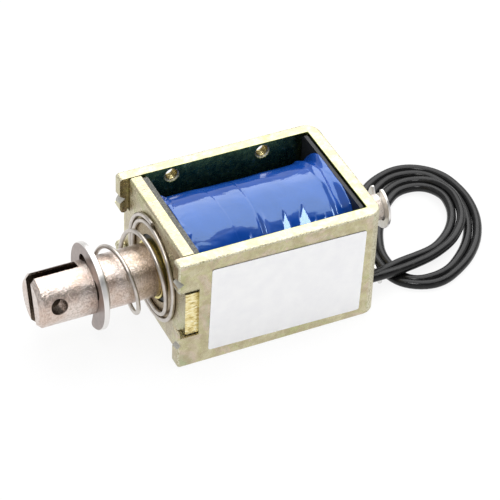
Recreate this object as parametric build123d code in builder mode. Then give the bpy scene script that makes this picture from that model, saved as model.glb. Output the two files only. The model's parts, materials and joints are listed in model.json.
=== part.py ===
from build123d import *
from math import asin, cos, degrees, pi, radians, sin, tan
import os

# Open-frame pull solenoid with a clevis plunger, a conical return spring and two coiled leads.
# X runs from the clevis end to the rear wall and Z is up. The origin is the middle of the four
# tapped holes, on the outer face of the far side plate, which is the plane Y = 0.
# Stations are distances along the plunger axis from the front edge of the side plates. All in mm.

# Yoke, bent from strip
frame_length = 40.0
frame_width = 28.8
frame_height = 23.6
strip = 2.4
bend_inside = 0.4
corner_round = 0.7
edge_roll = 0.5

# Tapped mounting holes in the far side plate
hole_station = 10.2
hole_pitch_x = 18.2
hole_edge = 1.9
tap_radius = 1.25
tap_rim = 0.3

# Front pole plate and the notches that hold its tabs
plate_setback = 1.6
plate_thickness = 2.4
plate_play = 0.25
plate_roll = 0.6
tab_height = 9.3
tab_recess = 0.5
notch_play = 0.2
collar_play = 0.08

# Stakes: side plate (-1 is the near one) and end of its notch (1 is the upper one). Each has the
# start, depth, point and end of its chisel dent on the plate's outer face, then on its inner face,
# and the outline of the lip pushed over the notch as stations and heights above the notch's end.
# The near plate's upper corner was struck round and has no lip.
far_dents = [(0.7, 0.7, 1.75, 2.85), (1.55, 1.05, 2.4, 3.15)]
far_lip = [(0, 0.4), (0, 0), (0.3, -0.55), (0.8, -0.75), (1.3, -0.5), (1.5, 0), (1.5, 0.4)]
near_upper_dents = [(2.05, 1.05, 2.8, 4.0), (2.05, 0.6, 2.55, 3.05)]
near_upper_round = 1.4
near_lower_dents = [(0.65, 0.55, 1.6, 2.45), (1.55, 0.55, 2.4, 3.2)]
near_lower_lip = [(0, 0.3), (0, -1.3), (0.35, -1.4), (0.5, 0.3)]
stakes = [
    (1, 1, far_dents, far_lip),
    (1, -1, far_dents, far_lip),
    (-1, 1, near_upper_dents, []),
    (-1, -1, near_lower_dents, near_lower_lip),
]

# Plunger, with its slot, cross hole and clip groove
plunger_radius = 5.0
plunger_front = -22.0
plunger_chamfer = 0.8
plunger_roll = -16.0
slot_width = 2.5
slot_depth = 9.15
cross_radius = 1.55
cross_from_end = 3.6
clip_station = -11.3
stroke = 10.0
cone_length = 2.4
cone_shoulder = 1.2
cone_taper = 0.9
cone_play = 0.12

# Retaining clips: groove depth, outer radius and thickness of each
front_groove_depth = 1.0
front_clip_radius = 8.15
front_clip_thickness = 1.0
rear_groove_depth = 0.8
rear_clip_radius = 4.2
rear_clip_thickness = 0.6
rear_clip_gap = 6.3
clip_play = 0.05
front_clip_roll = 17.0
rear_clip_roll = 155.0
clip_relief = 0.5
clip_relief_turn = 46.0
clip_tip = 0.15
clip_mouth = 1.8
clip_edge = 0.15

# Guide tube, core and push rod
bore_play = 0.1
tube_wall = 0.4
tube_proud = 0.7
press_play = 0.02
core_length = 11.5
stud_radius = 3.5
stud_head = 0.6
stud_head_overlap = 0.8
shim_thickness = 0.3
rod_radius = 2.5
rod_play = 0.1
rod_seat = 8.0
rod_tail = 0.5
rod_chamfer = 0.3

# Bobbin, winding and tape
spool_wall = 0.8
collar_setback = 0.3
flange_thickness = 1.05
flange_play = 0.05
flange_side_play = 0.05
flange_inset = 0.2
flange_corner = 1.0
winding_side_gap = 0.45
winding_top_gap = 0.25
tape_thickness = 0.3

# Return spring
wire_radius = 0.4
spring_play = 0.15
spring_large = 10.25
spring_free_turns = 2.0
spring_flat_turns = 1.5
spring_end_turns = 0.8
spring_points_per_turn = 8

# Label on the near side plate
label_thickness = 0.12
label_front = 6.15
label_back = 3.65
label_edge = 2.55
label_corner = 0.4
label_drop = 0.3
label_tilt = -1.3

# Leads, where they leave the winding and how they are coiled
lead_radius = 0.9
sleeve_wall = 0.3
splice_play = 0.1
splice_length = 7.0
splice_angle = 225.0
lead_notch_play = 0.25
coil_behind_wall = 18.1
coil_centre_y = 4.3
coil_long = 18.6
coil_short = 12.8
coil_band = 7.3
coil_height = 3.5
coil_tilt = 62.0
coil_edge = 1.0
lead_end_radius = 0.45
lead_end_length = 5.0
lead_end_roots = [(4.3, -0.6), (5.1, -3.4)]

# Places that follow from the sizes above
origin_station = hole_station + hole_pitch_x / 2
hole_pitch_z = frame_height - 2 * hole_edge
axis_y = -frame_width / 2
floor_z = -frame_height / 2
wall_front = frame_length - strip
plate_back = plate_setback + plate_thickness
front_groove = plunger_radius - front_groove_depth
rear_groove = rod_radius - rear_groove_depth
rear_clip_station = frame_length + stud_head + rear_clip_gap
spring_small = plunger_radius + spring_play + wire_radius
tube_bore = plunger_radius + bore_play
tube_outer = tube_bore + tube_wall
tube_front = plate_setback - tube_proud
spool_radius = tube_outer + spool_wall
plate_bore = spool_radius + collar_play
front_flange_back = plate_back + flange_play + flange_thickness
splice_radius = lead_radius + sleeve_wall
rear_flange_front = wall_front - flange_play - flange_thickness
winding_length = rear_flange_front - front_flange_back
taped_radius = min(frame_width / 2 - strip - winding_side_gap, frame_height / 2 - winding_top_gap)
winding_radius = taped_radius - tape_thickness
label_length = frame_length - label_front - label_back
label_height = frame_height - 2 * label_edge
core_radius = tube_bore - press_play
core_front = wall_front - core_length
plunger_back = core_front - shim_thickness - bore_play - stroke
rod_end = rear_clip_station + rear_clip_thickness + rod_tail
notch_half = tab_height / 2 + notch_play
axis = Axis((0, axis_y, 0), (1, 0, 0))


def across(station, roll=0.0):
    """Plane square to the plunger axis: its X is +Y of the part, turned by roll about the axis."""
    turned = radians(roll)
    centre = (station - origin_station, axis_y, 0)
    return Plane(origin=centre, x_dir=(0, cos(turned), sin(turned)), z_dir=(1, 0, 0))


def beside_axis(roll=0.0):
    """Plane holding the plunger axis: its X is the station, its Y is up, turned by roll."""
    turned = radians(roll)
    centre = (-origin_station, axis_y, 0)
    return Plane(origin=centre, x_dir=(1, 0, 0), z_dir=(0, -cos(turned), -sin(turned)))


def place(station, y, z):
    """Point given by its station and its distances from the plunger axis."""
    return Vector(station - origin_station, axis_y + y, z)


def finish(part, label):
    """Name a finished piece and write it out."""
    part.label = label
    export_step(part, f"parts/{label}.step")
    print(label, round(part.volume, 2))


os.makedirs("parts", exist_ok=True)

# The two splices lie side by side on the winding, in the lower corner beside the near plate
splice_reach = winding_radius + splice_radius
lead_spacing = 2 * splice_radius + splice_play
splice_turn = degrees(2 * asin(lead_spacing / 2 / splice_reach))
splice_angles = [splice_angle + splice_turn / 2, splice_angle - splice_turn / 2]
splice_spots = [(splice_reach * cos(radians(a)), splice_reach * sin(radians(a))) for a in splice_angles]
notch_centre = (splice_reach * cos(radians(splice_angle)), splice_reach * sin(radians(splice_angle)))
lead_notch_radius = lead_spacing / 2 + lead_radius + lead_notch_play

# Yoke frame
with BuildPart() as yoke_frame:
    with BuildSketch(Plane.XY.offset(floor_z)) as strip_outline:
        with Locations((frame_length / 2 - origin_station, axis_y)):
            Rectangle(frame_length, frame_width)
        fillet(strip_outline.vertices().group_by(Axis.X)[-1], bend_inside + strip)
        with Locations((wall_front / 2 - origin_station, axis_y)):
            Rectangle(wall_front, frame_width - 2 * strip, mode=Mode.SUBTRACT)
        inner_x = wall_front - origin_station
        inner_corners = strip_outline.vertices().filter_by_position(Axis.X, inner_x - 0.01, inner_x + 0.01)
        fillet(inner_corners, bend_inside)
    extrude(amount=frame_height)
    fillet(yoke_frame.edges().filter_by(Axis.Y).group_by(Axis.X)[0], corner_round)
    # Rolled edge all round the strip's outer face
    side_faces = yoke_frame.faces().filter_by(Axis.Y).group_by(Axis.Y)
    outer_faces = side_faces[0] + side_faces[-1]
    outer_faces += yoke_frame.faces().filter_by(Axis.X).group_by(Axis.X)[-1]
    bends = yoke_frame.faces().filter_by(GeomType.CYLINDER)
    outer_faces += bends.filter_by(lambda f: f.radius > strip)
    outer_edges = outer_faces.edges()
    fillet([e for e in outer_edges if sum(e.is_same(other) for other in outer_edges) == 1], edge_roll)
    # Notches for the pole plate's tabs, open at the front ends
    with BuildSketch(beside_axis()):
        with Locations((plate_back / 2, 0)):
            Rectangle(plate_back, 2 * notch_half)
    extrude(amount=frame_width / 2, both=True, mode=Mode.SUBTRACT)
    struck_edges = yoke_frame.edges().filter_by(Axis.Y).group_by(Axis.X)[0].filter_by(
        lambda e: e.center().Y < axis_y and abs(e.center().Z - notch_half) < 0.01
    )
    fillet(struck_edges, near_upper_round)
    # Chiselled dents beside each notch, and the lips that they push over the tabs
    for side, end, dents, lip in stakes:
        inner_face = beside_axis().offset(-side * (frame_width / 2 - strip))
        outer_face = beside_axis().offset(-side * frame_width / 2)
        for face, (start, depth, point, stop) in zip((outer_face, inner_face), dents):
            with BuildSketch(face):
                with BuildLine():
                    corners = [(0, start), (depth, point), (0, stop)]
                    Polyline([(x, end * (notch_half + height)) for x, height in corners], close=True)
                make_face()
        loft(mode=Mode.SUBTRACT)
        if lip:
            with BuildSketch(inner_face):
                with BuildLine():
                    Polyline([(x, end * (notch_half + height)) for x, height in lip], close=True)
                make_face()
            extrude(amount=-side * strip)
    # Tapped holes, with countersunk rims
    with BuildSketch(Plane.XZ):
        with GridLocations(hole_pitch_x, hole_pitch_z, 2, 2):
            Circle(tap_radius)
    extrude(amount=strip, mode=Mode.SUBTRACT)
    circles = yoke_frame.edges().filter_by(GeomType.CIRCLE)
    chamfer(circles.filter_by(lambda e: abs(e.radius - tap_radius) < 0.01), tap_rim)
    # Rivet hole for the core, and the notch that the leads pass through
    with BuildSketch(across(wall_front)):
        Circle(stud_radius)
        with Locations(notch_centre):
            Circle(lead_notch_radius)
        notch_drop = frame_height / 2 + notch_centre[1]
        with Locations((notch_centre[0], notch_centre[1] - notch_drop / 2)):
            Rectangle(2 * lead_notch_radius, notch_drop)
    extrude(amount=strip, mode=Mode.SUBTRACT)
finish(yoke_frame.part, "yoke_frame")

# Front pole plate
with BuildPart() as front_pole_plate:
    with BuildSketch(across(plate_setback)):
        Rectangle(frame_width - 2 * strip - 2 * plate_play, frame_height)
        Rectangle(frame_width - 2 * tab_recess, tab_height)
        Circle(plate_bore, mode=Mode.SUBTRACT)
    extrude(amount=plate_thickness)
    front_edges = front_pole_plate.edges().group_by(Axis.X)[0]
    ends = front_edges.filter_by(Axis.Y).group_by(Axis.Z)
    sides = front_edges.filter_by(Axis.Z).filter_by(lambda e: abs(e.center().Z) > tab_height / 2)
    fillet(ends[0] + ends[-1] + sides, plate_roll)
finish(front_pole_plate.part, "front_pole_plate")

# Bobbin: spool, two flanges, and a collar that centres in the pole plate
with BuildPart() as bobbin:
    with BuildSketch(across(plate_setback + collar_setback)):
        Circle(spool_radius)
    extrude(amount=wall_front - flange_play - plate_setback - collar_setback)
    for flange_station in (plate_back + flange_play, rear_flange_front):
        with BuildSketch(across(flange_station)) as flange_outline:
            Rectangle(frame_width - 2 * strip - 2 * flange_side_play, frame_height - 2 * flange_inset)
            fillet(flange_outline.vertices(), flange_corner)
        extrude(amount=flange_thickness)
    chamfer(bobbin.edges().filter_by(Axis.Z).group_by(Axis.X)[-1], bend_inside)
    with BuildSketch(across(rear_flange_front)):
        with Locations(notch_centre):
            Circle(lead_notch_radius)
        with Locations((notch_centre[0], notch_centre[1] - notch_drop / 2)):
            Rectangle(2 * lead_notch_radius, notch_drop)
    extrude(amount=flange_thickness, mode=Mode.SUBTRACT)
    with BuildSketch(across(plate_setback)):
        Circle(tube_outer + press_play)
    extrude(amount=frame_length, mode=Mode.SUBTRACT)
finish(bobbin.part, "bobbin")

# Winding
with BuildPart() as coil_winding:
    with BuildSketch(across(front_flange_back)):
        Circle(winding_radius)
        Circle(spool_radius, mode=Mode.SUBTRACT)
    extrude(amount=winding_length)
finish(coil_winding.part, "coil_winding")

# Tape round the winding and the two splices
with BuildPart() as tape_wrap:
    for skin, how in ((tape_thickness, Mode.ADD), (0, Mode.SUBTRACT)):
        with BuildSketch(across(front_flange_back)):
            Circle(winding_radius + skin)
            with Locations(*splice_spots):
                Circle(splice_radius + skin)
            make_hull()
        extrude(amount=winding_length, mode=how)
finish(tape_wrap.part, "tape_wrap")

# Brass guide tube
with BuildPart() as guide_tube:
    with BuildSketch(across(tube_front)):
        Circle(tube_outer)
        Circle(tube_bore, mode=Mode.SUBTRACT)
    extrude(amount=wall_front - flange_play - tube_front)
finish(guide_tube.part, "guide_tube")

# Fixed core: cupped face, bore for the rod, stud riveted over behind the rear wall
cup_mouth = plunger_radius - cone_shoulder + cone_play
cup_bottom = cup_mouth - cone_taper
core_floor = core_front + cone_length + cone_play
with BuildPart() as fixed_core:
    with BuildSketch(beside_axis()):
        with BuildLine():
            Polyline(
                (core_floor, rod_radius + rod_play),
                (core_floor, cup_bottom),
                (core_front, cup_mouth),
                (core_front, core_radius),
                (wall_front, core_radius),
                (wall_front, stud_radius - press_play),
                (frame_length, stud_radius - press_play),
                (frame_length, stud_radius + stud_head_overlap),
                (frame_length + stud_head / 2, stud_radius + stud_head_overlap),
                (frame_length + stud_head, stud_radius),
                (frame_length + stud_head, rod_radius + rod_play),
                close=True,
            )
        make_face()
    revolve(axis=axis)
finish(fixed_core.part, "fixed_core")

# Non-magnetic ring on the core's face
with BuildPart() as residual_shim:
    with BuildSketch(across(core_front - shim_thickness)):
        Circle(core_radius)
        Circle(cup_mouth, mode=Mode.SUBTRACT)
    extrude(amount=shim_thickness)
finish(residual_shim.part, "residual_shim")

# Plunger
groove_end = clip_station + front_clip_thickness + 2 * clip_play
with BuildPart() as plunger:
    with BuildSketch(beside_axis()):
        with BuildLine():
            Polyline(
                (plunger_front, 0),
                (plunger_front, plunger_radius - plunger_chamfer),
                (plunger_front + plunger_chamfer, plunger_radius),
                (clip_station, plunger_radius),
                (clip_station, front_groove),
                (groove_end, front_groove),
                (groove_end, plunger_radius),
                (plunger_back, plunger_radius),
                (plunger_back, plunger_radius - cone_shoulder),
                (plunger_back + cone_length, plunger_radius - cone_shoulder - cone_taper),
                (plunger_back + cone_length, 0),
                close=True,
            )
        make_face()
    revolve(axis=axis)
    with BuildSketch(across(plunger_front, plunger_roll)):
        Rectangle(slot_width, 4 * plunger_radius)
    extrude(amount=slot_depth, mode=Mode.SUBTRACT)
    with BuildSketch(beside_axis(plunger_roll)):
        with Locations((plunger_front + cross_from_end, 0)):
            Circle(cross_radius)
    extrude(amount=2 * plunger_radius, both=True, mode=Mode.SUBTRACT)
    with BuildSketch(across(plunger_back + cone_length)):
        Circle(rod_radius)
    extrude(amount=-rod_seat, mode=Mode.SUBTRACT)
finish(plunger.part, "plunger")

# Push rod, pressed into the plunger and reaching out behind the rear wall
rod_front = plunger_back + cone_length - rod_seat
rear_groove_end = rear_clip_station + rear_clip_thickness + 2 * clip_play
with BuildPart() as push_rod:
    with BuildSketch(beside_axis()):
        with BuildLine():
            Polyline(
                (rod_front, 0),
                (rod_front, rod_radius),
                (rear_clip_station, rod_radius),
                (rear_clip_station, rear_groove),
                (rear_groove_end, rear_groove),
                (rear_groove_end, rod_radius),
                (rod_end - rod_chamfer, rod_radius),
                (rod_end, rod_radius - rod_chamfer),
                (rod_end, 0),
                close=True,
            )
        make_face()
    revolve(axis=axis)
finish(push_rod.part, "push_rod")


def retaining_clip(label, station, groove, outer, thickness, roll):
    """E-type clip: three prongs on the groove, two reliefs, and a mouth opposite the middle prong."""
    relief = clip_relief * (outer - groove)
    tip = clip_tip * (outer - groove)
    with BuildPart() as clip:
        with BuildSketch(across(station + clip_play, roll)) as outline:
            Circle(outer)
            Circle(groove + clip_play, mode=Mode.SUBTRACT)
            relief_turns = (clip_relief_turn, 180 - clip_relief_turn)
            with Locations(*[(groove * cos(radians(a)), groove * sin(radians(a))) for a in relief_turns]):
                Circle(relief, mode=Mode.SUBTRACT)
            with Locations((0, -outer)):
                Rectangle(clip_mouth * groove, 2 * outer, mode=Mode.SUBTRACT)
            mouth_corners = outline.vertices().group_by(Axis.Y)[0]
            fillet(mouth_corners, tip)
        extrude(amount=thickness)
        circles = clip.edges().filter_by(GeomType.CIRCLE)
        fillet(circles.filter_by(lambda e: abs(e.radius - outer) < 0.01), clip_edge)
    finish(clip.part, label)


retaining_clip(
    "front_clip", clip_station, front_groove, front_clip_radius, front_clip_thickness, front_clip_roll
)
retaining_clip(
    "rear_clip", rear_clip_station, rear_groove, rear_clip_radius, rear_clip_thickness, rear_clip_roll
)


def spring_point(turn):
    """Middle of the wire: one end coil on the clip, an opening cone, then flat turns on the plate."""
    start = clip_station + clip_play + front_clip_thickness + wire_radius
    end = plate_setback - wire_radius
    open_share = min(max(turn / spring_free_turns, 0), 1)
    rise = min(max(turn / spring_end_turns + 1, 0), 1) * wire_radius
    travel = end - start - wire_radius
    station = start + rise + travel * (1.4 * open_share - 0.4 * open_share**2)
    cone_share = max(turn, 0) / (spring_free_turns + spring_flat_turns)
    radius = spring_small + (spring_large - spring_small) * (1.2 * cone_share - 0.2 * cone_share**2)
    angle = 2 * pi * (turn - 0.5)
    return place(station, -radius * sin(angle), radius * cos(angle))


# Return spring, wound right-handed from the clip to the pole plate
spring_turns = spring_end_turns + spring_free_turns + spring_flat_turns
spring_steps = round(spring_turns * spring_points_per_turn)
with BuildPart() as return_spring:
    with BuildLine() as spring_line:
        turns = [spring_turns * i / spring_steps - spring_end_turns for i in range(spring_steps + 1)]
        Spline([spring_point(turn) for turn in turns])
    with BuildSketch(Plane(spring_line.wires()[0] @ 0, z_dir=spring_line.wires()[0] % 0)):
        Circle(wire_radius)
    sweep(transition=Transition.ROUND)
finish(return_spring.part, "return_spring")

# Label, stuck a little askew on the near side plate
label_spot = place(label_front + label_length / 2, axis_y, -label_drop)
label_centre = Plane(origin=label_spot, x_dir=(1, 0, 0), z_dir=(0, -1, 0))
with BuildPart() as rating_label:
    with BuildSketch(label_centre):
        RectangleRounded(label_length, label_height, label_corner, rotation=label_tilt)
    extrude(amount=label_thickness)
finish(rating_label.part, "rating_label")

# Splice sleeves on the winding, under the tape
splice_back = rear_flange_front
for letter, spot in zip("ab", splice_spots):
    with BuildPart() as splice:
        with BuildSketch(across(splice_back - splice_length)):
            with Locations(spot):
                Circle(splice_radius)
        extrude(amount=splice_length)
    finish(splice.part, f"splice_{letter}")

# Leads, from the splices through the notch to where they lie on the coil of lead
lead_low = floor_z + coil_height
lead_routes = {
    "a": [(3.6, *splice_spots[0]), (8.0, -7.6, lead_low - 0.3), (12.6, -6.2, lead_low - 0.9)],
    "b": [(3.6, *splice_spots[1]), (8.0, -9.6, lead_low - 0.2), (12.6, -8.6, lead_low - 0.9)],
}
for letter, spot in zip("ab", splice_spots):
    outside = [place(frame_length + back, y, z) for back, y, z in lead_routes[letter]]
    points = [place(splice_back, *spot), *outside]
    runs = [b - a for a, b in zip(points, points[1:])]
    radii = []
    for before, after in zip(runs, runs[1:]):
        half_turn = radians(before.get_angle(after)) / 2
        radii.append(0.45 * min(before.length, after.length) / tan(half_turn))
    with BuildPart() as lead:
        with BuildLine() as lead_line:
            FilletPolyline(*points, radius=radii)
        with BuildSketch(Plane(lead_line.wires()[0] @ 0, z_dir=lead_line.wires()[0] % 0)):
            Circle(lead_radius)
        sweep()
    tube_volume = pi * lead_radius**2 * lead_line.wires()[0].length
    print(f"lead_{letter} radii", [round(r, 1) for r in radii], "section times length", round(tube_volume, 2))
    finish(lead.part, f"lead_{letter}")

# Outer shape of the coiled leads
coil_centre = (frame_length + coil_behind_wall - origin_station, axis_y + coil_centre_y)
with BuildPart() as lead_coil:
    with BuildSketch(Plane.XY.offset(floor_z)):
        with Locations(coil_centre):
            Ellipse(coil_long, coil_short, rotation=coil_tilt)
            Ellipse(coil_long - coil_band, coil_short - coil_band, rotation=coil_tilt, mode=Mode.SUBTRACT)
    extrude(amount=coil_height)
    chamfer(lead_coil.faces().filter_by(Axis.Z).edges(), coil_edge)
finish(lead_coil.part, "lead_coil")

# Tinned ends of the leads, pointing out of the coil behind the rear wall
for letter, (behind_wall, y) in zip("ab", lead_end_roots):
    root = place(frame_length + behind_wall, y, floor_z + lead_radius)
    with BuildPart() as lead_end:
        with BuildSketch(Plane(origin=root, z_dir=(-0.25, -1, 0))):
            Circle(lead_end_radius)
        extrude(amount=lead_end_length)
    finish(lead_end.part, f"lead_end_{letter}")
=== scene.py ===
"""Open-frame pull solenoid: finishes, tape, spring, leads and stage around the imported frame.

Sizes inside the functions are in millimetres, in the frame's own axes, and become metres where a
mesh or a curve is made. A station is the distance along the plunger axis from the front edge of
the side plates.
"""
import json
import math

import bpy
import numpy as np
from mathutils import Matrix, Vector


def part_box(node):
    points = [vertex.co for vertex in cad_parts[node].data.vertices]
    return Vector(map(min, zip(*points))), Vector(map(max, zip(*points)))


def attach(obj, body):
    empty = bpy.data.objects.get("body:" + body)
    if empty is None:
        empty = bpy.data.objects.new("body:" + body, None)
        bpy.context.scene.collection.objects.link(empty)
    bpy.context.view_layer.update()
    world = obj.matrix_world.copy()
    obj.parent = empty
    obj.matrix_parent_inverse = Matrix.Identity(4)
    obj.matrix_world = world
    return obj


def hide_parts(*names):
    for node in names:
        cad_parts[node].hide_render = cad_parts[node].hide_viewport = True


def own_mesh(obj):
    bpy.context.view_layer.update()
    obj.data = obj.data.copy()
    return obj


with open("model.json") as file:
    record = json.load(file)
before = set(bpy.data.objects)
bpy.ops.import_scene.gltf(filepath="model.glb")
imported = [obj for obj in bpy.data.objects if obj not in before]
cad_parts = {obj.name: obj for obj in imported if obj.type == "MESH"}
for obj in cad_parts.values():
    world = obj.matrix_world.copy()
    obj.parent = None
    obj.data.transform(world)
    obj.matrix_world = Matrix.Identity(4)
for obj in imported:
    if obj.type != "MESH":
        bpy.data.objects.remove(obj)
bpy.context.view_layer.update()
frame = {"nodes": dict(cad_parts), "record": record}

bl_info = {
    "name": "Pull Solenoid Model",
    "version": (1, 0, 0),
    "blender": (4, 5, 0),
    "location": "View3D > Sidebar > Solenoid",
    "description": "Builds the finishes, tape, spring and leads of an open-frame pull solenoid",
    "category": "Object",
}

MM = 0.001
WHOLE_TURN = 2 * math.pi


def node_box(name):
    """Lowest and highest corner of a node in millimetres, as two arrays."""
    low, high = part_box(name)
    return np.array(low) / MM, np.array(high) / MM


yoke_low, yoke_high = node_box("yoke_frame")
tape_low, tape_high = node_box("tape_wrap")
plunger_low, plunger_high = node_box("plunger")
front_x = yoke_low[0]
rear_x = yoke_high[0]
floor_z = yoke_low[2]
axis_y = (yoke_low[1] + yoke_high[1]) / 2
plate_setback = node_box("front_pole_plate")[0][0] - front_x
clip_back = node_box("front_clip")[1][0] - front_x
plunger_radius = (plunger_high[1] - plunger_low[1]) / 2
tape_radius = tape_high[2]


# Sizes and colours that a user would change


class TapeSettings(bpy.types.PropertyGroup):
    colour: bpy.props.FloatVectorProperty(
        name="Film colour", description="Colour of the polyester film", subtype="COLOR", size=3,
        min=0, max=1, default=(0.004, 0.050, 0.29))
    thickness: bpy.props.FloatProperty(
        name="Thickness", description="Thickness of the wound tape, in millimetres",
        default=0.3, min=0.1, max=1)
    wrinkle: bpy.props.FloatProperty(
        name="Wrinkles", description="Height of the wrinkles, as a share of the usual one",
        default=1.0, min=0, max=2)


class SpringSettings(bpy.types.PropertyGroup):
    wire: bpy.props.FloatProperty(
        name="Wire", description="Wire diameter in millimetres", default=0.8, min=0.3, max=1.2)
    large: bpy.props.FloatProperty(
        name="Large end", description="Mean radius of the turn on the plate, in millimetres",
        default=10.25, min=8, max=12)


class LeadSettings(bpy.types.PropertyGroup):
    diameter: bpy.props.FloatProperty(
        name="Diameter", description="Diameter over the insulation, in millimetres",
        default=1.8, min=1, max=3)
    colour: bpy.props.FloatVectorProperty(
        name="Insulation", description="Colour of the insulation", subtype="COLOR", size=3, min=0, max=1,
        default=(0.006, 0.006, 0.0065))
    turns: bpy.props.FloatProperty(
        name="Turns", description="Turns of each lead in the ring", default=1.833, min=1, max=2)


class StageSettings(bpy.types.PropertyGroup):
    azimuth: bpy.props.FloatProperty(
        name="Azimuth", description="Camera direction about Z, from +X", subtype="ANGLE",
        default=math.radians(-116.662))
    elevation: bpy.props.FloatProperty(
        name="Elevation", description="Camera height angle", subtype="ANGLE", default=math.radians(40.008))
    roll: bpy.props.FloatProperty(
        name="Roll", description="Camera roll", subtype="ANGLE", default=math.radians(2.463))
    distance: bpy.props.FloatProperty(
        name="Distance", description="Camera distance from its target", unit="LENGTH", default=0.44316)
    lens: bpy.props.FloatProperty(
        name="Lens", description="Focal length in millimetres on a 36 mm sensor", default=169.965)
    key_light: bpy.props.FloatProperty(
        name="Key light", description="Radiance of the softbox over the object", default=2.4, min=0)
    front_light: bpy.props.FloatProperty(
        name="Front light", description="Radiance of the lamp beside the camera", default=0.7, min=0)
    sparkle_light: bpy.props.FloatProperty(
        name="Sparkle light", description="Radiance of the small bright lamp", default=11.0, min=0)
    fill_light: bpy.props.FloatProperty(
        name="Fill light", description="Strength of the pale room round the object", default=0.6, min=0)


# Materials


class Finish:
    """A procedural material: a Principled shader and the nodes that feed it, on Object coordinates."""

    def __init__(self, name, colour, metallic=0.0, roughness=0.4, **sockets):
        self.material = bpy.data.materials.new(name)
        self.material.use_nodes = True
        self.tree = self.material.node_tree
        self.shader = self.tree.nodes["Principled BSDF"]
        self.shader.inputs["Base Color"].default_value = (*colour, 1)
        self.shader.inputs["Metallic"].default_value = metallic
        self.shader.inputs["Roughness"].default_value = roughness
        for socket, value in sockets.items():
            self.shader.inputs[socket.replace("_", " ")].default_value = value
        self.place = self.node("ShaderNodeTexCoord").outputs["Object"]

    def node(self, kind, values=None, **settings):
        """A node with its settings and input values; a value may be another node's output."""
        made = self.tree.nodes.new(kind)
        for key, value in settings.items():
            setattr(made, key, value)
        for key, value in (values or {}).items():
            if isinstance(value, bpy.types.NodeSocket):
                self.tree.links.new(value, made.inputs[key])
            else:
                made.inputs[key].default_value = value
        return made

    def feed(self, socket, value):
        """Links an output to one of the shader's sockets."""
        self.tree.links.new(value, self.shader.inputs[socket])

    def moved(self, scale=(1, 1, 1), offset=(0, 0, 0)):
        """Object coordinates in millimetres, stretched and offset."""
        scaled = tuple(s / MM for s in scale)
        values = {"Vector": self.place, "Location": offset, "Scale": scaled}
        return self.node("ShaderNodeMapping", values).outputs[0]

    def noise(
            self, scale=1.0, detail=2.0, stretch=(1, 1, 1), roughness=0.5, distortion=0.0,
            offset=(0, 0, 0)):
        """Noise whose features are about 1 / scale millimetres across."""
        values = {
            "Vector": self.moved(stretch, offset), "Scale": scale, "Detail": detail,
            "Roughness": roughness, "Distortion": distortion,
        }
        return self.node("ShaderNodeTexNoise", values).outputs["Fac"]

    def ramp(self, factor, stops):
        """A colour ramp through (position, colour) stops; a plain number stands for a grey."""
        made = self.node("ShaderNodeValToRGB", {"Fac": factor})
        ramp = made.color_ramp
        while len(ramp.elements) < len(stops):
            ramp.elements.new(0.5)
        for element, (position, colour) in zip(ramp.elements, stops):
            element.position = position
            element.color = (*colour, 1) if isinstance(colour, tuple) else (colour, colour, colour, 1)
        return made.outputs["Color"]

    def mix(self, factor, first, second, blend="MIX"):
        """Mixes two colours, each a tuple or an output."""
        made = self.node("ShaderNodeMix", data_type="RGBA", blend_type=blend)
        made.clamp_result = False
        for index, value in ((0, factor), (6, first), (7, second)):
            if isinstance(value, bpy.types.NodeSocket):
                self.tree.links.new(value, made.inputs[index])
            else:
                made.inputs[index].default_value = (*value, 1) if isinstance(value, tuple) else value
        return made.outputs[2]

    def maths(self, operation, first, second=0.0):
        """One step of arithmetic on numbers or outputs."""
        return self.node("ShaderNodeMath", {0: first, 1: second}, operation=operation).outputs[0]

    def step(self, value, start, end):
        """0 below start and 1 above end, smooth between; start may be the larger."""
        values = {"Value": value, "From Min": start, "From Max": end}
        return self.node("ShaderNodeMapRange", values, interpolation_type="SMOOTHSTEP").outputs[0]

    def axes(self):
        """Station, distance from the plunger axis towards +Y, and height, in millimetres."""
        split = self.node("ShaderNodeSeparateXYZ", {"Vector": self.moved(offset=(-front_x, -axis_y, 0))})
        return split.outputs[0], split.outputs[1], split.outputs[2]

    def from_axis(self, across, height):
        """Distance from the plunger axis."""
        squares = [self.maths("MULTIPLY", part, part) for part in (across, height)]
        return self.maths("SQRT", self.maths("ADD", *squares))

    def facing(self):
        """The surface's own normal as X, Y and Z."""
        normal = self.node("ShaderNodeTexCoord").outputs["Normal"]
        split = self.node("ShaderNodeSeparateXYZ", {"Vector": normal})
        return split.outputs[0], split.outputs[1], split.outputs[2]

    def bump(self, height, distance, strength=1.0):
        """Feeds a height, in shares of a distance in millimetres, to the shader's normal."""
        values = {"Height": height, "Distance": distance * MM, "Strength": strength}
        self.feed("Normal", self.node("ShaderNodeBump", values).outputs[0])


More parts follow.
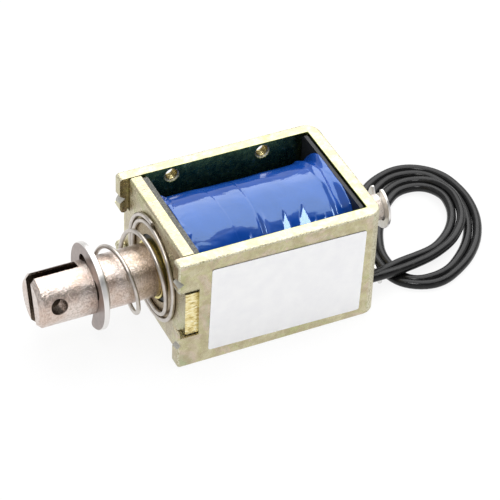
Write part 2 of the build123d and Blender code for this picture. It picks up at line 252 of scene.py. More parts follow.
def yoke_zinc(name):
    """Yellow chromate on zinc: pale gold that drifts to olive and pink, with fine pits.

    The struck dents are bare, the rolled edges are speckled and the inside is painted dark as shade.
    """
    finish = Finish(name, (0.56, 0.53, 0.34), metallic=1.0, roughness=0.3)
    station, across, height = finish.axes()
    drift = finish.noise(0.16, 3.0, distortion=0.8)
    colour = finish.ramp(drift, [
        (0.34, (0.47, 0.47, 0.25)), (0.43, (0.60, 0.55, 0.38)), (0.5, (0.55, 0.52, 0.31)),
        (0.58, (0.61, 0.51, 0.40)), (0.68, (0.44, 0.47, 0.29))])
    cloud = finish.noise(0.55, 4.0, roughness=0.6, offset=(0, 0, 5))
    colour = finish.mix(finish.ramp(cloud, [(0.42, 0.0), (0.62, 0.7)]), colour, (0.43, 0.37, 0.23))
    pits = finish.noise(4.5, 3.0, roughness=0.7)
    colour = finish.mix(finish.ramp(pits, [(0.6, 0.0), (0.72, 0.6)]), colour, (0.22, 0.19, 0.10))
    rough = finish.ramp(finish.noise(1.4, 3.0), [(0.3, 0.2), (0.7, 0.4)])

    # Rolled edges face none of the three axes
    normal = [finish.maths("ABSOLUTE", part) for part in finish.facing()]
    flat = finish.maths("MAXIMUM", finish.maths("MAXIMUM", normal[0], normal[1]), normal[2])
    rolled = finish.step(flat, 0.995, 0.93)
    chips = finish.noise(3.2, 4.0, roughness=0.75, offset=(2, 1, 0))
    speckle = finish.ramp(chips, [
        (0.36, (0.26, 0.23, 0.13)), (0.46, (0.60, 0.56, 0.36)), (0.56, (0.92, 0.90, 0.78)),
        (0.66, (0.55, 0.49, 0.31))])
    rough = finish.mix(rolled, rough, (0.5, 0.5, 0.5))
    colour = finish.mix(finish.maths("MULTIPLY", rolled, 0.75), colour, speckle)

    # Dents struck into the front ends, above and below the notches
    notch_half_height, dents_end, dent_depth = 5.1, 9.2, 1.3
    level = finish.maths("ABSOLUTE", height)
    over_notch = finish.step(level, notch_half_height - 0.15, notch_half_height)
    beside_notch = finish.maths("MULTIPLY", over_notch, finish.step(level, dents_end + 0.4, dents_end))
    cut = finish.maths("MULTIPLY", finish.maths("MULTIPLY", normal[0], normal[2]), 4.0)
    near_end = finish.step(station, dent_depth + 0.2, dent_depth)
    struck = finish.maths("MULTIPLY", finish.step(cut, 0.4, 0.9), near_end)
    struck = finish.maths("MULTIPLY", struck, beside_notch)
    colour = finish.mix(struck, colour, (0.60, 0.59, 0.54))

    # The inside, between the side plates, the pole plate and the rear wall, is painted dark as shade
    inner_half_width, plate_back, wall_front = 12.0, 4.0, 37.6
    between = finish.step(finish.maths("ABSOLUTE", across), inner_half_width + 0.15, inner_half_width + 0.02)
    behind_plate = finish.step(station, plate_back - 0.1, plate_back + 0.1)
    before_wall = finish.step(station, wall_front + 0.15, wall_front + 0.02)
    inside = finish.maths("MULTIPLY", between, finish.maths("MULTIPLY", behind_plate, before_wall))
    painted_inner_shade = finish.ramp(finish.noise(0.9, 4.0, roughness=0.7), [
        (0.4, (0.10, 0.135, 0.045)), (0.6, (0.21, 0.25, 0.07)), (0.72, (0.50, 0.46, 0.24))])
    finish.feed("Base Color", finish.mix(inside, colour, painted_inner_shade))
    finish.feed("Roughness", rough)
    grit = finish.noise(2.6, 4.0, roughness=0.6)
    grit = finish.mix(rolled, grit, finish.ramp(chips, [(0.35, 0.0), (0.65, 3.0)]))
    finish.bump(grit, 0.035, 0.5)
    return finish.material


def sheared_plate(name):
    """The pole plate: the same chromate, browned round the spring, yellow and ridged at its tabs."""
    finish = Finish(name, (0.56, 0.53, 0.34), metallic=1.0, roughness=0.3)
    drift = finish.noise(0.25, 3.0, distortion=0.6, offset=(7, 3, 0))
    colour = finish.ramp(drift, [
        (0.36, (0.52, 0.51, 0.30)), (0.5, (0.58, 0.53, 0.36)), (0.66, (0.50, 0.44, 0.32))])
    station, across, height = finish.axes()
    radius = finish.from_axis(across, height)
    stain_edge, stain_core, tab_end = 11.5, 8.0, 13.7
    stain = finish.maths("MULTIPLY", finish.step(radius, stain_edge, stain_core), 0.75)
    colour = finish.mix(stain, colour, (0.36, 0.26, 0.17))
    pits = finish.noise(4.0, 3.0, roughness=0.7)
    colour = finish.mix(finish.ramp(pits, [(0.56, 0.0), (0.7, 0.6)]), colour, (0.20, 0.17, 0.10))
    end = finish.step(finish.maths("ABSOLUTE", across), tab_end, tab_end + 0.15)
    ridges = finish.noise(3.0, 3.0, stretch=(0.25, 1, 1), roughness=0.6)
    sheared = finish.ramp(ridges, [
        (0.32, (0.40, 0.30, 0.10)), (0.46, (0.80, 0.66, 0.30)), (0.6, (0.96, 0.88, 0.56)),
        (0.75, (0.98, 0.96, 0.80))])
    finish.feed("Base Color", finish.mix(end, colour, sheared))
    finish.feed("Roughness", finish.ramp(finish.noise(1.6, 3.0), [(0.3, 0.22), (0.7, 0.42)]))
    finish.bump(ridges, 0.14, 0.7)
    return finish.material


def nickel(name, tone=(0.76, 0.67, 0.615), stain_from=None, grain_rough=(0.06, 0.2), recess=None):
    """Bright nickel on turned steel: rings from the tool and a grainy sparkle.

    It is browned behind the station stain_from, and painted dark as shade inside the radius recess, as in a
    slot.
    """
    finish = Finish(name, tone, metallic=1.0, roughness=0.2)
    station, across, height = finish.axes()
    grain = finish.noise(3.2, 4.0, roughness=0.75)
    rings = finish.noise(9.0, 2.0, stretch=(1, 0.04, 0.04))
    warm = finish.noise(0.35, 3.0, offset=(3, 0, 0))
    warmer = tuple(t * share for t, share in zip(tone, (0.88, 0.80, 0.75)))
    colour = finish.mix(finish.ramp(warm, [(0.38, 0.0), (0.62, 1.0)]), tone, warmer)
    if stain_from is not None:
        cloud = finish.maths("MULTIPLY", finish.noise(0.5, 3.0), 5.0)
        stained = finish.step(finish.maths("ADD", station, cloud), stain_from, stain_from + 5.0)
        colour = finish.mix(finish.maths("MULTIPLY", stained, 0.7), colour, (0.50, 0.38, 0.26))
    pits = finish.noise(2.7, 3.0, roughness=0.8)
    speckle = finish.ramp(pits, [(0.40, (0.72, 0.70, 0.68)), (0.53, (1.0, 1.0, 1.0))])
    colour = finish.mix(1.0, colour, speckle, "MULTIPLY")
    if recess is not None:
        # Painted shade: side faces inside the recess radius, in the groove and the cross hole, are darkened
        deep = finish.step(finish.from_axis(across, height), recess, recess - 0.3)
        end_face = finish.maths("ABSOLUTE", finish.facing()[0])
        deep = finish.maths("MULTIPLY", deep, finish.step(end_face, 0.7, 0.4))
        colour = finish.mix(deep, colour, (0.11, 0.085, 0.062))
    finish.feed("Base Color", colour)
    finish.feed("Roughness", finish.ramp(grain, [(0.35, grain_rough[0]), (0.7, grain_rough[1])]))
    lumps = finish.ramp(grain, [(0.3, 0.0), (0.7, 1.0)])
    relief = finish.mix(0.35, lumps, finish.ramp(rings, [(0.3, 0.0), (0.7, 1.0)]))
    finish.bump(relief, 0.075, 0.7)
    return finish.material


def spring_steel(name, tone, rim=None):
    """Plated clip or wire steel: even satin with faint streaks, lighter outside a rim's radius as a painted
    highlight.
    """
    finish = Finish(name, tone, metallic=1.0, roughness=0.3)
    cloud = finish.noise(0.8, 3.0)
    dark = tuple(t * 0.78 for t in tone)
    colour = finish.mix(finish.ramp(cloud, [(0.35, 0.0), (0.7, 1.0)]), tone, dark)
    rough = finish.ramp(finish.noise(3.0, 3.0), [(0.3, 0.28), (0.7, 0.38)])
    if rim is not None:
        station, across, height = finish.axes()
        # Painted highlight: from just inside the rim's radius outwards the steel is lighter, as if the
        # rounded edge caught the lamp
        painted_rim_highlight = finish.step(finish.from_axis(across, height), rim - 0.2, rim - 0.08)
        colour = finish.mix(painted_rim_highlight, colour, (0.84, 0.82, 0.80))
    finish.feed("Base Color", colour)
    finish.feed("Roughness", rough)
    finish.bump(finish.noise(3.0, 2.0), 0.01, 0.5)
    return finish.material


def brass(name, tone=(0.80, 0.68, 0.23)):
    """Drawn brass tube, or a cut thread: yellow, with fine rings."""
    finish = Finish(name, tone, metallic=1.0, roughness=0.26)
    cloud = finish.noise(0.9, 3.0)
    darker = tuple(t * 0.9 for t in tone)
    finish.feed("Base Color", finish.mix(finish.ramp(cloud, [(0.35, 0.0), (0.65, 1.0)]), tone, darker))
    finish.bump(finish.noise(7.0, 2.0, stretch=(1, 0.1, 0.1)), 0.02, 0.5)
    return finish.material


def moulded_nylon(name):
    """Black nylon; the front flange's rim is scuffed grey."""
    finish = Finish(name, (0.02, 0.02, 0.022), roughness=0.45)
    station, across, height = finish.axes()
    rim_radius, front_end = 9.0, 8.0
    rim = finish.step(finish.from_axis(across, height), rim_radius - 1.0, rim_radius)
    rim = finish.maths("MULTIPLY", rim, finish.step(station, front_end + 4.0, front_end))
    speckle = finish.noise(3.0, 4.0, roughness=0.7)
    scuffed = finish.ramp(speckle, [
        (0.36, (0.030, 0.032, 0.028)), (0.5, (0.085, 0.085, 0.072)), (0.62, (0.17, 0.165, 0.14)),
        (0.75, (0.34, 0.33, 0.29))])
    finish.feed("Base Color", finish.mix(rim, (0.012, 0.013, 0.014), scuffed))
    finish.feed("Roughness", finish.ramp(speckle, [(0.3, 0.4), (0.7, 0.65)]))
    finish.bump(speckle, 0.08, 0.6)
    return finish.material


def polyester_tape(name, colour):
    """Glossy blue film: deep and even, with a clear shine and faint ripples."""
    finish = Finish(
        name, colour, roughness=0.08, Specular_IOR_Level=1.0, Specular_Tint=(0.55, 0.79, 1.0, 1.0),
        Coat_Weight=0.22, Coat_Roughness=0.03)
    cloud = finish.noise(0.22, 3.0, distortion=0.4)
    light = tuple(min(c * 1.2 + 0.004, 1) for c in colour)
    finish.feed("Base Color", finish.mix(finish.ramp(cloud, [(0.35, 0.0), (0.7, 1.0)]), colour, light))
    finish.feed("Roughness", finish.ramp(finish.noise(1.5, 2.0), [(0.3, 0.05), (0.7, 0.13)]))
    finish.bump(finish.noise(0.26, 2.5, stretch=(0.6, 1, 1), roughness=0.4, distortion=0.5), 0.5, 0.5)
    return finish.material


def enamelled_wire(name):
    """Copper wire under clear enamel."""
    finish = Finish(name, (0.55, 0.22, 0.08), metallic=1.0, roughness=0.28, Coat_Weight=0.5)
    wires = finish.noise(5.0, 0.0, stretch=(1, 0.02, 0.02))
    finish.bump(wires, 0.1, 0.8)
    return finish.material


def label_film(name):
    """Bare white label film: a satin face with a soft mottle, dark grey on faces turned upwards."""
    finish = Finish(name, (0.88, 0.88, 0.89), roughness=0.38)
    mottle = finish.noise(0.5, 3.0)
    film = finish.ramp(mottle, [(0.3, (0.81, 0.81, 0.825)), (0.7, (0.85, 0.85, 0.855))])
    # Faces turned upwards, along the label's upper edge, are dark grey
    cut = finish.step(finish.facing()[2], 0.3, 0.7)
    finish.feed("Base Color", finish.mix(cut, film, (0.16, 0.16, 0.17)))
    finish.bump(finish.noise(0.4, 2.0), 0.03, 0.4)
    return finish.material


def lead_insulation(name, colour):
    """Black lead insulation with a low shine and faint draw lines."""
    finish = Finish(name, colour, roughness=0.24, Specular_IOR_Level=0.3)
    dust = finish.noise(1.2, 3.0)
    finish.feed("Roughness", finish.ramp(dust, [(0.35, 0.16), (0.7, 0.3)]))
    dusty = finish.ramp(dust, [(0.5, 0.0), (0.8, 0.5)])
    finish.feed("Base Color", finish.mix(dusty, colour, (0.02, 0.02, 0.018)))
    finish.bump(finish.noise(2.5, 2.0), 0.02, 0.4)
    return finish.material


def tinned_copper(name):
    """Solder-tinned copper strands."""
    finish = Finish(name, (0.72, 0.71, 0.70), metallic=1.0, roughness=0.25)
    finish.bump(finish.noise(6.0, 3.0), 0.03, 0.6)
    return finish.material


# Meshes


def surface(name, points, close_rows=False, close_columns=False):
    """A mesh through a grid of points in millimetres: points[row, column] is one place.

    Rows and columns may close on themselves. Each grid cell is one four-sided face.
    """
    rows, columns = points.shape[:2]
    row = np.arange(rows if close_rows else rows - 1)[:, None]
    column = np.arange(columns if close_columns else columns - 1)[None, :]
    next_row, next_column = (row + 1) % rows, (column + 1) % columns
    corners = (row * columns + column, next_row * columns + column,
               next_row * columns + next_column, row * columns + next_column)
    faces = np.stack([np.broadcast_to(c, (row.size, column.size)).ravel() for c in corners], 1)
    mesh = bpy.data.meshes.new(name)
    mesh.from_pydata(points.reshape(-1, 3) * MM, [], faces.tolist())
    mesh.shade_smooth()
    mesh.update()
    made = bpy.data.objects.new(name, mesh)
    bpy.context.collection.objects.link(made)
    return made


def dress(piece, material):
    """Gives a piece one material."""
    piece.data.materials.clear()
    piece.data.materials.append(material)
    return piece


def smooth(value, start, end):
    """0 before start and 1 after end, smooth between."""
    share = np.clip((value - start) / (end - start), 0, 1)
    return share * share * (3 - 2 * share)


def hill(value, middle, width):
    """A bell curve of height 1."""
    return np.exp(-((value - middle) / width) ** 2)


def tape_section(angle):
    """Outline of the wrap and its outward normal, for the angle of that normal.

    The wrap is pulled tight over the winding and the two splices, so its outline is the hull of
    three circles: the support distance in a direction is the largest of centre . direction + radius.
    The angle runs from +Z towards -Y.
    """
    skin = 0.3
    splices = [node_box("splice_a"), node_box("splice_b")]
    centres = [(0.0, 0.0)]
    for low, high in splices:
        centres.append(((low[1] + high[1]) / 2 - axis_y, (low[2] + high[2]) / 2))
    low, high = splices[0]
    radii = [tape_radius] + [(high[1] - low[1]) / 2 + skin] * 2
    normal = np.stack([-np.sin(angle), np.cos(angle)], -1)
    support = np.stack([normal @ np.array(c) + r for c, r in zip(centres, radii)])
    chosen = support.argmax(0)
    centre = np.array(centres)[chosen]
    radius = np.array(radii)[chosen]
    return centre + radius[..., None] * normal, normal


def tape_facets(station, degrees):
    """Height of two flat, three-cornered facets where the film was folded over itself.

    Each starts at a point on the upper side and widens downwards. Both lie in planes that mirror the
    sparkle lamp to the camera: turned by glint_angle and rising by glint_slope towards the rear.
    """
    glint_angle, glint_slope = 37.2, 0.341
    point_angle, full_angle = 26, 46
    ahead, behind = 0.8, 0.2
    facets = 0
    for apex, width in ((24.3, 1.8), (28.0, 2.5)):
        spread = width * np.clip((degrees - point_angle) / (full_angle - point_angle), 0, 1)
        lean = np.radians(np.clip(degrees - glint_angle, -30, 30))
        rise = 0.1 + glint_slope * (station - apex + 0.44 * width)
        plane = (tape_radius + rise) / np.cos(lean) - tape_radius
        past_left = smooth(station - apex + ahead * spread, -0.06, 0.06)
        past_right = smooth(station - apex - behind * spread, -0.06, 0.12)
        inside = past_left * (1 - past_right)
        inside = inside * smooth(degrees, 25, 27.5) * (1 - smooth(degrees, 58, 76))
        facets = np.maximum(facets, inside * plane)
    return facets


def tape_wrinkles(station, angle):
    """Height of the film over a tight wrap, in millimetres.

    Low swells run along the wrap. The outer layer ends in a step with a crease, deepest on the side
    that faces out. Tents stand where the film was pinched. At both ends the film gathers into rings
    and folds and climbs the flanges. It never sinks into the winding.
    """
    degrees = np.degrees(angle)

    # Swells, stronger on the near side
    swell = 0.1 + 0.04 * np.sin(2.3 * angle + 0.35 * station)
    swell += 0.035 * np.sin(5.1 * angle - 0.22 * station + 1)
    swell += 0.025 * np.sin(0.9 * station + 3 * np.sin(2 * angle))
    near_side = smooth(degrees, 12, 30) * (1 - smooth(degrees, 75, 100))
    ripple = np.sin(0.5 * station + 0.6) * np.sin(5.5 * angle + 0.5 * np.sin(0.7 * station))
    swell += 0.12 * near_side * ripple

    # The ends of the two outer layers, at two stations
    seam = 19.1 + 0.1 * np.sin(4 * angle)
    second_seam = 13.6 + 0.02 * degrees
    deep = smooth(degrees, 18, 34) * (1 - smooth(degrees, 60, 90))
    crease = 0.06 * smooth(seam - station, -0.1, 0.25) - (0.05 + 0.25 * deep) * hill(station, seam, 0.28)
    crease += 0.3 * deep * hill(station, seam + 0.75, 0.5)
    second = 0.05 * smooth(second_seam - station, -0.12, 0.12)

    # Tents: station, angle at which each starts, width and height
    tents = 0
    pinches = ((29.9, 37, 0.35, 0.4), (17.0, 38, 0.4, 0.5), (31.8, 38, 0.35, 0.4))
    for place, start, width, height in pinches:
        along = place - 0.03 * (degrees - start)
        spread = width * (0.15 + 0.85 * smooth(degrees, start, start + 12))
        rise = smooth(degrees, start, start + 20) * (1 - smooth(degrees, 62, 85))
        tents = tents + height * rise * np.exp(-((station - along) / spread) ** 4)

    # Rings, folds and the climb up the flange at the rear, and the torn edge at the front
    gather_from, ring_at, climb_from, torn_to = 31.0, 33.9, 35.0, 6.4
    rings = 0.42 * hill(station, ring_at, 0.55) - 0.15 * hill(station, climb_from, 0.45)
    gather = smooth(station, gather_from, gather_from + 4.5)
    folds = 0.15 * np.sin(7 * angle + 0.8 * station) + 0.05 * np.sin(17 * angle - 0.5 * station + 2)
    flare = np.interp(
        degrees, (-70, -38, -24, -6, 6, 22, 38, 60, 90), (0.2, 1.3, 1.1, 0.1, 0.1, 0.6, 1.2, 1.0, 0.2))
    climb = smooth(station, climb_from, climb_from + 1.4) * (flare + 0.05 * np.sin(19 * angle))
    frill = 0.35 + 0.3 * np.sin(11 * angle + 1) + 0.22 * np.sin(27 * angle)
    torn = smooth(torn_to + 0.5 * np.sin(19 * angle) - station, 0, 1.2) * np.clip(frill, 0.05, 1)

    height = swell + crease + second + tents + rings * (0.7 + 0.3 * np.cos(angle)) + gather * folds
    height = height + climb + torn
    return np.maximum(np.maximum(height, tape_facets(station, degrees)), 0.01)


# Operators


class SOLENOID_OT_tape(bpy.types.Operator):
    """Wraps the coil in blue film, with its creases, tents and gathered rear edge"""
    bl_idname = "solenoid.tape"
    bl_label = "Tape"

    def execute(self, context):
        """Builds the wrap as one closed skin: out along its top face, round its edge, and back inside."""
        settings = context.scene.solenoid_tape
        front_inset, back_inset, edge_clearance = 0.03, 0.02, 0.04
        front = tape_low[0] - front_x + front_inset
        back = tape_high[0] - front_x - back_inset
        rows, columns = 260, 480
        stations = np.linspace(front, back, rows)
        angles = np.linspace(0, WHOLE_TURN, columns, endpoint=False) - math.pi
        station, angle = np.meshgrid(stations, angles, indexing="ij")
        outline, normal = tape_section(angle)
        height = settings.wrinkle * tape_wrinkles(station, angle)
        skins = []
        for depth in (0.0, settings.thickness):
            lift = (height - depth)[..., None]
            across = outline + lift * normal
            limit = yoke_high[2] - edge_clearance - depth
            across[..., 1] = np.clip(across[..., 1], -limit, limit)
            skins.append(np.stack([front_x + station, axis_y + across[..., 0], across[..., 1]], -1))
        shell = np.concatenate([skins[0], skins[1][::-1]])
        piece = surface("tape_film", shell, close_rows=True, close_columns=True)
        dress(piece, polyester_tape("blue_film", tuple(settings.colour)))
        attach(piece, "frame")
        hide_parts("tape_wrap")
        return {"FINISHED"}


FREE_TURNS = 2.0
FLAT_TURNS = 1.5
END_TURNS = 0.8


def spring_line(turns, wire, large):
    """Middle of the wire in millimetres, for turns counted from the end of the coil on the clip.

    The wire starts as a coil against the clip, opens into a cone whose pitch falls off towards the
    plate, and ends in flat turns on the plate. The angle runs from +Z towards -Y.
    """
    play, pitch_fall, cone_fall = 0.15, 0.4, 0.2
    small = plunger_radius + play + wire / 2
    start = clip_back + wire / 2
    end = plate_setback - wire / 2
    opened = np.clip(turns / FREE_TURNS, 0, 1)
    rise = np.clip(turns / END_TURNS + 1, 0, 1) * wire / 2
    travel = end - start - wire / 2
    station = start + rise + travel * ((1 + pitch_fall) * opened - pitch_fall * opened**2)
    share = np.clip(turns, 0, None) / (FREE_TURNS + FLAT_TURNS)
    radius = small + (large - small) * ((1 + cone_fall) * share - cone_fall * share**2)
    angle = WHOLE_TURN * (turns - 0.5)
    return np.stack([front_x + station, axis_y - radius * np.sin(angle), radius * np.cos(angle)], -1)


def wire_modifier(piece, radius, material):
    """Turns a piece's line of edges into a round wire.
    """
    group = bpy.data.node_groups.new("Round wire", "GeometryNodeTree")
    group.interface.new_socket("Geometry", in_out="INPUT", socket_type="NodeSocketGeometry")
    group.interface.new_socket("Geometry", in_out="OUTPUT", socket_type="NodeSocketGeometry")
    kinds = (
        "NodeGroupInput", "GeometryNodeMeshToCurve", "GeometryNodeCurveToMesh",
        "GeometryNodeSetShadeSmooth", "GeometryNodeSetMaterial", "NodeGroupOutput")
    chain = [group.nodes.new(kind) for kind in kinds]
    for before, after, socket in zip(chain, chain[1:], ("Mesh", "Curve", "Geometry", "Geometry", "Geometry")):
        group.links.new(before.outputs[0], after.inputs[socket])
    ring = group.nodes.new("GeometryNodeCurvePrimitiveCircle")
    ring.inputs["Resolution"].default_value = 16
    ring.inputs["Radius"].default_value = radius * MM
    group.links.new(ring.outputs[0], chain[2].inputs["Profile Curve"])
    chain[2].inputs["Fill Caps"].default_value = True
    chain[4].inputs["Material"].default_value = material
    piece.modifiers.new("Round wire", "NODES").node_group = group


class SOLENOID_OT_spring(bpy.types.Operator):
    """Winds the return spring between the clip and the pole plate"""
    bl_idname = "solenoid.spring"
    bl_label = "Return spring"

    def execute(self, context):
        """Makes the wire's line and gives it a round section."""
        settings = context.scene.solenoid_spring
        turns = np.linspace(-END_TURNS, FREE_TURNS + FLAT_TURNS, 620)
        line = spring_line(turns, settings.wire, settings.large)
        mesh = bpy.data.meshes.new("spring_wire")
        links = np.stack([np.arange(len(line) - 1), np.arange(1, len(line))], 1)
        mesh.from_pydata(line * MM, links.tolist(), [])
        piece = bpy.data.objects.new("spring_wire", mesh)
        bpy.context.collection.objects.link(piece)
        material = spring_steel("spring_wire_steel", (0.66, 0.61, 0.56))
        mesh.materials.append(material)
        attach(piece, "frame")
        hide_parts("return_spring")
        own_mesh(piece)
        wire_modifier(piece, settings.wire / 2, material)
        return {"FINISHED"}


def ring_route(which, diameter, turns, per_turn=14):
    """Points of one lead round its ring, in millimetres. which is 0 for the inner lead and 1 for the outer.

    The ring is an ellipse turned about Z. ring_slack gives, for each angle in degrees along the
    lead, how far it lies outside that ellipse. The two leads lie side by side. The first pass lies on
    top of the second beside the frame, and comes down to the floor on the far side.
    """
    tilt, long, short = math.radians(62), 17.6, 11.6
    middle = np.array([rear_x + 18.4, axis_y + 4.3])
    ring_slack = (
        (-101, -5.4), (-68, -4.3), (-32, -3.0), (13, -3.2), (40, -3.9), (57, -4.3), (90, -3.9),
        (140, -3.1), (187, -2.0), (218, 0.0), (233, 2.0), (241, 2.5), (255, 1.4), (281, 0.1),
        (321, 0.2), (361, 0.0), (394, -0.4), (413, 0.2), (441, 0.4), (500, 0.5), (540, 0.9),
        (559, 1.0), (570, 2.25))
    # The inner lead starts and ends later, in degrees; the rest are shares of the diameter
    lag, extra, beside, lift, inner_drop = 4, 7, 1.03, 0.87, 0.25
    inner = 1 - which
    start = ring_slack[0][0] + lag * inner
    stop = start + 360 * turns + extra * inner
    degrees = np.linspace(start, stop, round(per_turn * turns) + 1)
    angle = np.radians(degrees)
    slack = np.interp(degrees, *zip(*ring_slack)) - inner * beside * diameter
    turned = angle - tilt
    radius = long * short / np.hypot(short * np.cos(turned), long * np.sin(turned)) + slack
    on_top = 1 - smooth(degrees, 25, 75)
    height = floor_z + diameter / 2 + on_top * (lift - inner_drop * inner) * diameter
    return np.stack([middle[0] + radius * np.cos(angle), middle[1] + radius * np.sin(angle), height], -1)


class SOLENOID_OT_leads(bpy.types.Operator):
    """Lays the two black leads from the splices through the wall's notch into their loose ring"""
    bl_idname = "solenoid.leads"
    bl_label = "Leads"

    def execute(self, context):
        """Each lead is one smooth curve: its listed run out of the notch, then the ring's turns."""
        settings = context.scene.solenoid_leads
        material = lead_insulation("lead_sleeve_black", tuple(settings.colour))
        # Behind the rear wall, towards +Y from the plunger axis, and up
        routes = {
            "a": [(3.6, -7.7, -9.2), (8.5, -6.6, -9.05), (13.0, -5.9, -9.4)],
            "b": [(3.6, -9.4, -8.3), (8.5, -8.5, -9.0), (13.0, -7.7, -9.2)],
        }
        # The ends lie crossed in the ring
        for which, letter in enumerate("ab"):
            low, high = node_box(f"splice_{letter}")
            spot = (low + high) / 2
            points = [(high[0], spot[1], spot[2])]
            for behind, across, height in routes[letter]:
                points.append((rear_x + behind, axis_y + across, height))
            points = np.concatenate([np.array(points), ring_route(which, settings.diameter, settings.turns)])
            curve = bpy.data.curves.new(f"lead_{letter}_wire", "CURVE")
            curve.dimensions = "3D"
            curve.bevel_depth = settings.diameter / 2 * MM
            curve.bevel_resolution = 5
            curve.use_fill_caps = True
            curve.resolution_u = 8
            spline = curve.splines.new("NURBS")
            spline.points.add(len(points) - 1)
            weighted = np.concatenate([points * MM, np.ones((len(points), 1))], 1)
            spline.points.foreach_set("co", weighted.ravel())
            spline.order_u = 3
            spline.use_endpoint_u = True
            piece = bpy.data.objects.new(f"lead_{letter}_wire", curve)
            bpy.context.collection.objects.link(piece)
            dress(piece, material)
            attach(piece, "frame")
            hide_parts(f"lead_{letter}")
        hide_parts("lead_coil")
        return {"FINISHED"}


class SOLENOID_OT_threads(bpy.types.Operator):
    """Cuts the threads in the four tapped holes of the far side plate"""
    bl_idname = "solenoid.threads"
    bl_label = "Threads"

    def execute(self, context):
        """Each thread is a sleeve whose bore rises and falls along a helix, out and back as one skin."""
        # Radius at root and crest, pitch, and the plain depth at each mouth
        root, crest, pitch, rim = 1.245, 1.08, 0.5, 0.28
        plate = 2.4
        depth = np.linspace(rim, plate - rim, 56)
        turn = np.linspace(0, WHOLE_TURN, 48, endpoint=False)
        along, angle = np.meshgrid(depth, turn, indexing="ij")
        phase = (along / pitch - angle / WHOLE_TURN) % 1
        ridge = root - 0.02 - (root - crest) * (1 - np.abs(2 * phase - 1))
        sleeves = []
        for radius in (ridge, np.full_like(ridge, root)):
            sleeves.append(np.stack([radius * np.cos(angle), -along, radius * np.sin(angle)], -1))
        shell = np.concatenate([sleeves[0], sleeves[1][::-1]])[:, ::-1]
        pattern = frame["record"]["mounts"][0]["dims"]
        material = brass("thread_zinc", (0.50, 0.43, 0.22))
        length, height = pattern["spacing_x_mm"], pattern["spacing_y_mm"]
        for side, along_name in ((-1, "front"), (1, "rear")):
            for end, level_name in ((-1, "lower"), (1, "upper")):
                centre = np.array([side * length / 2, 0, end * height / 2])
                piece = surface("hole_thread", shell + centre, close_rows=True, close_columns=True)
                piece.name = f"hole_thread_{along_name}_{level_name}"
                dress(piece, material)
                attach(piece, "frame")
        return {"FINISHED"}


class SOLENOID_OT_finishes(bpy.types.Operator):
    """Gives every piece that stays as packed its own finish"""
    bl_idname = "solenoid.finishes"
    bl_label = "Finishes"

    def execute(self, context):
        """One material for each node."""
        materials = {
            "yoke_frame": yoke_zinc("zinc_yoke"),
            "front_pole_plate": sheared_plate("zinc_plate"),
            "bobbin": moulded_nylon("black_nylon"),
            "coil_winding": enamelled_wire("enamelled_copper"),
            "guide_tube": brass("drawn_brass"),
            "residual_shim": brass("shim_brass"),
            "fixed_core": nickel("core_nickel"),
            "plunger": nickel("plunger_nickel", stain_from=-3.0, recess=4.8),
            "push_rod": nickel("rod_nickel", (0.97, 0.96, 0.94), grain_rough=(0.5, 0.65)),
            "front_clip": spring_steel("front_clip_steel", (0.35, 0.29, 0.27), rim=8.15),
            "rear_clip": spring_steel("rear_clip_steel", (0.82, 0.81, 0.79), rim=4.2),
            "rating_label": label_film("label_white"),
            "splice_a": lead_insulation("sleeve_a", (0.03, 0.03, 0.03)),
            "splice_b": lead_insulation("sleeve_b", (0.03, 0.03, 0.03)),
            "lead_end_a": tinned_copper("strands_a"),
            "lead_end_b": tinned_copper("strands_b"),
        }
        for node, material in materials.items():
            dress(frame["nodes"][node], material)
        return {"FINISHED"}


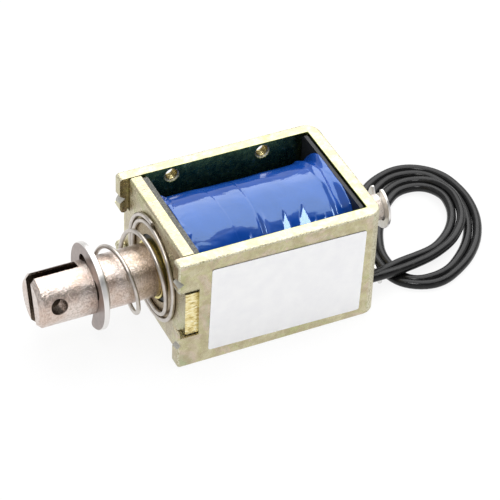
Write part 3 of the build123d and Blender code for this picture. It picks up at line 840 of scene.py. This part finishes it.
class SOLENOID_OT_stage(bpy.types.Operator):
    """Sets the pale floor, the soft studio light and the camera"""
    bl_idname = "solenoid.stage"
    bl_label = "Stage"

    def execute(self, context):
        """Floor, world, three lamps and camera."""
        settings = context.scene.solenoid_stage
        self.floor()
        self.world(settings.fill_light)
        self.softbox(settings.key_light)
        self.front_fill(settings.front_light)
        self.sparkle(settings.sparkle_light)
        self.camera(settings)
        context.scene.view_settings.view_transform = "Standard"
        return {"FINISHED"}

    def floor(self):
        """A wide white sheet that keeps the object's shadow."""
        reach, level = 4000.0, floor_z - 0.01
        corners = np.array([[[x, y, level] for y in (-reach, reach)] for x in (-reach, reach)])
        floor = surface("floor", corners)
        finish = Finish("floor_white", (0.88, 0.88, 0.88), roughness=0.9)
        tree = finish.tree
        path = finish.node("ShaderNodeLightPath")
        seen = finish.maths("MAXIMUM", path.outputs["Is Camera Ray"], path.outputs["Is Glossy Ray"])
        seen = finish.maths("MAXIMUM", seen, path.outputs["Is Transmission Ray"])
        glow_share = 0.88
        share = finish.maths("MULTIPLY", seen, glow_share)
        glow = finish.node("ShaderNodeEmission", {"Color": (1, 1, 1, 1), "Strength": 1.0})
        layers = {0: share, 1: finish.shader.outputs[0], 2: glow.outputs[0]}
        mixed = finish.node("ShaderNodeMixShader", layers)
        tree.links.new(mixed.outputs[0], tree.nodes["Material Output"].inputs["Surface"])
        dress(floor, finish.material)

    def world(self, fill):
        """A pale room: a grey fill in front, a dark gap above it, and an even glow elsewhere.

        The stops run from the horizon on the near side, over the top, to the horizon behind.
        """
        world = bpy.data.worlds.new("studio")
        bpy.context.scene.world = world
        world.use_nodes = True
        tree = world.node_tree
        place = tree.nodes.new("ShaderNodeTexCoord")
        split = tree.nodes.new("ShaderNodeSeparateXYZ")
        steps = []
        for operation, second in (("MULTIPLY", -1), ("ARCTAN2", 0), ("DIVIDE", math.pi)):
            step = tree.nodes.new("ShaderNodeMath")
            step.operation = operation
            step.inputs[1].default_value = second
            steps.append(step)
        toward, angle, share = steps
        ramp = tree.nodes.new("ShaderNodeValToRGB")
        gap_share = 0.03
        gap = gap_share * fill
        stops = [(0.0, fill), (0.18, fill), (0.21, gap), (0.31, gap), (0.36, fill), (0.96, fill)]
        while len(ramp.color_ramp.elements) < len(stops):
            ramp.color_ramp.elements.new(0.5)
        for element, (position, grey) in zip(ramp.color_ramp.elements, stops):
            element.position = position
            element.color = (grey, grey, grey, 1)
        tree.links.new(place.outputs["Generated"], split.inputs[0])
        tree.links.new(split.outputs[1], toward.inputs[0])
        tree.links.new(split.outputs[2], angle.inputs[0])
        tree.links.new(toward.outputs[0], angle.inputs[1])
        tree.links.new(angle.outputs[0], share.inputs[0])
        tree.links.new(share.outputs[0], ramp.inputs["Fac"])
        tree.links.new(ramp.outputs["Color"], tree.nodes["Background"].inputs["Color"])

    def lamp(self, name, radiance, direction, distance, width, depth):
        """An area lamp of a given radiance that shines at the origin."""
        light = bpy.data.lights.new(name, "AREA")
        light.shape = "RECTANGLE"
        light.size = width
        light.size_y = depth
        light.energy = radiance * math.pi * width * depth
        piece = bpy.data.objects.new(name, light)
        bpy.context.collection.objects.link(piece)
        toward = Vector(direction).normalized()
        turned = toward.to_track_quat("Z", "Y").to_matrix().to_4x4()
        piece.matrix_world = Matrix.Translation(toward * distance) @ turned
        return piece

    def softbox(self, radiance):
        """A large lamp over and behind the object."""
        height = math.radians(73)
        self.lamp("softbox", radiance, (0.34, math.cos(height), math.sin(height)), 0.45, 0.6, 0.66)

    def front_fill(self, radiance):
        """A soft lamp beside the camera for the matt surfaces; shiny metal doesn't mirror it."""
        height = math.radians(28)
        direction = (-0.4 * math.cos(height), -0.9 * math.cos(height), math.sin(height))
        self.lamp("front_fill", radiance, direction, 0.7, 0.5, 0.5).visible_glossy = False

    def sparkle(self, radiance):
        """A small bright lamp high on the camera's side, for the glints on film, wire and rims."""
        self.lamp("sparkle", radiance, (-0.25, -0.47, 0.84), 0.5, 0.13, 0.13)

    def camera(self, settings):
        """The photograph's view: direction from the target, then roll about the line of sight."""
        direction = Vector((
            math.cos(settings.elevation) * math.cos(settings.azimuth),
            math.cos(settings.elevation) * math.sin(settings.azimuth),
            math.sin(settings.elevation)))
        right = (-direction).cross(Vector((0, 0, 1))).normalized()
        up = right.cross(-direction)
        turned_right = math.cos(settings.roll) * right + math.sin(settings.roll) * up
        turned_up = -math.sin(settings.roll) * right + math.cos(settings.roll) * up
        aim_station, aim_across, aim_height = 24.660, 7.884, -9.393
        target = Vector((aim_station + front_x, aim_across + axis_y, aim_height)) * MM
        camera = bpy.data.cameras.new("camera")
        camera.lens = settings.lens
        camera.sensor_width = 36
        camera.clip_start = 0.01
        camera.clip_end = 20
        piece = bpy.data.objects.new("camera", camera)
        bpy.context.collection.objects.link(piece)
        basis = Matrix((turned_right, turned_up, direction)).transposed().to_4x4()
        piece.matrix_world = Matrix.Translation(target + direction * settings.distance) @ basis
        bpy.context.scene.camera = piece


class SOLENOID_PT_panel(bpy.types.Panel):
    """Lists the builders and their settings"""
    bl_idname = "SOLENOID_PT_panel"
    bl_label = "Solenoid"
    bl_space_type = "VIEW_3D"
    bl_region_type = "UI"
    bl_category = "Solenoid"

    def draw(self, context):
        """One box for each group of settings, then the operators."""
        for group in SETTINGS:
            box = self.layout.box()
            settings = getattr(context.scene, group)
            for key in settings.__annotations__:
                box.prop(settings, key)
        for operator in OPERATORS:
            self.layout.operator(operator.bl_idname)


SETTINGS = {
    "solenoid_tape": TapeSettings,
    "solenoid_spring": SpringSettings,
    "solenoid_leads": LeadSettings,
    "solenoid_stage": StageSettings,
}
OPERATORS = (
    SOLENOID_OT_finishes,
    SOLENOID_OT_threads,
    SOLENOID_OT_tape,
    SOLENOID_OT_spring,
    SOLENOID_OT_leads,
    SOLENOID_OT_stage,
)


def register():
    """Registers the classes and hangs the settings on the scene."""
    for entry in (*SETTINGS.values(), *OPERATORS, SOLENOID_PT_panel):
        bpy.utils.register_class(entry)
    for name, group in SETTINGS.items():
        setattr(bpy.types.Scene, name, bpy.props.PointerProperty(type=group))


def unregister():
    """Takes them away again."""
    for name in SETTINGS:
        delattr(bpy.types.Scene, name)
    for entry in reversed((*SETTINGS.values(), *OPERATORS, SOLENOID_PT_panel)):
        bpy.utils.unregister_class(entry)


def main():
    """Builds everything in order."""
    register()
    bpy.ops.solenoid.finishes()
    bpy.ops.solenoid.threads()
    bpy.ops.solenoid.tape()
    bpy.ops.solenoid.spring()
    bpy.ops.solenoid.leads()
    bpy.ops.solenoid.stage()


if __name__ == "__main__":
    main()
